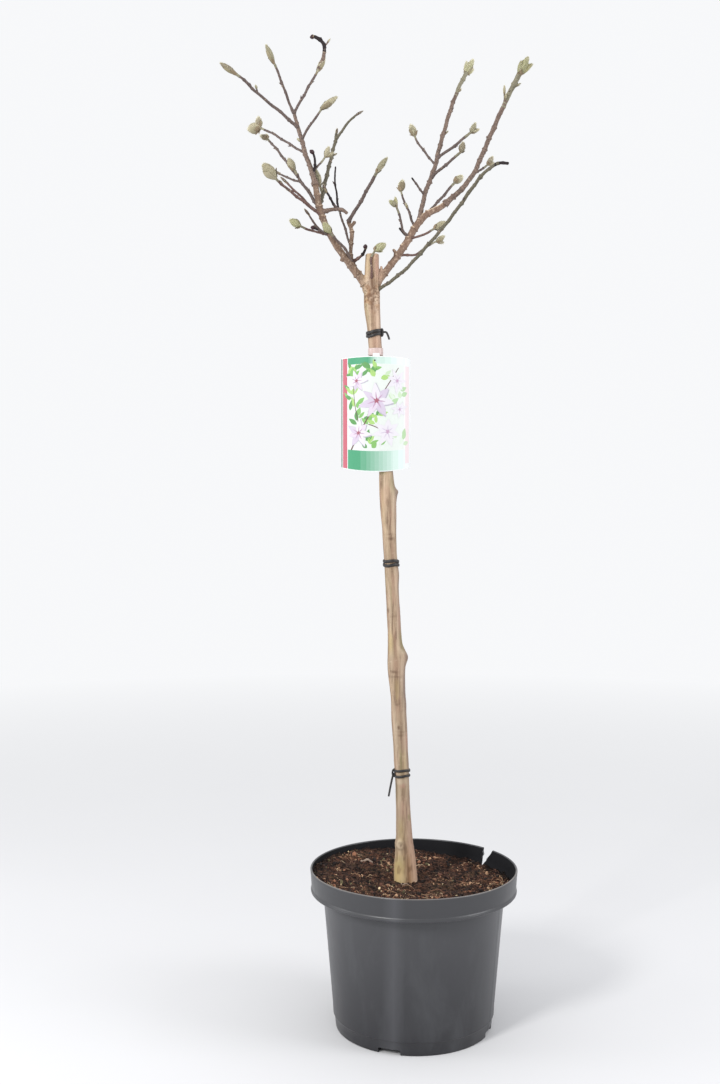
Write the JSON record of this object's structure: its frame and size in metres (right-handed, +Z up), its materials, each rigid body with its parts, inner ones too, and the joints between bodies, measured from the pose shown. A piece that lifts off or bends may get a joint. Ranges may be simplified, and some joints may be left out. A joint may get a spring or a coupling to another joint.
{
  "type": "potted magnolia tree",
  "caption": "Young magnolia grown as a small standard in a round nursery pot, bare of leaves with fuzzy buds, tied stem and a hanging picture label.",
  "frame": {"origin": "centre of the pot's flat underside", "axes": "+Z up along the stem, -Y towards the side with the label, +X to the right of that side"},
  "size_m": [0.4, 0.286, 1.3613],
  "materials": {
    "pot": "satin, dark slate grey",
    "soil": "moist crumbly peat",
    "bark": "smooth young bark with scars",
    "twig": "fine bark and downy buds",
    "tie": "smooth black tubing",
    "label": "glossy printed card"
  },
  "bodies": {
    "root": {"pot": "pot", "soil": "soil", "trunk": "bark", "bough_left": "bark", "bough_left_inner": "bark", "bough_right": "bark", "twigs_left_leader": "twig", "twigs_left_outer": "twig", "twigs_left_lower": "twig", "twigs_left_centre": "twig", "twigs_left_cross": "twig", "twigs_left_low": "twig", "twigs_left_front": "twig", "twigs_inner_dark": "twig", "twigs_inner_long": "twig", "twigs_inner_spur": "twig", "twigs_stub": "twig", "twigs_right_upright": "twig", "twigs_right_outer": "twig", "twigs_right_middle": "twig", "twigs_right_low": "twig", "twigs_right_side_low": "twig", "twigs_right_side_high": "twig", "twigs_right_inner_low": "twig", "twigs_right_inner_high": "twig", "tie_low": "tie", "tie_middle": "tie", "tie_high": "tie", "label_strap": "label", "label_card": "label"}
  },
  "joints": []
}
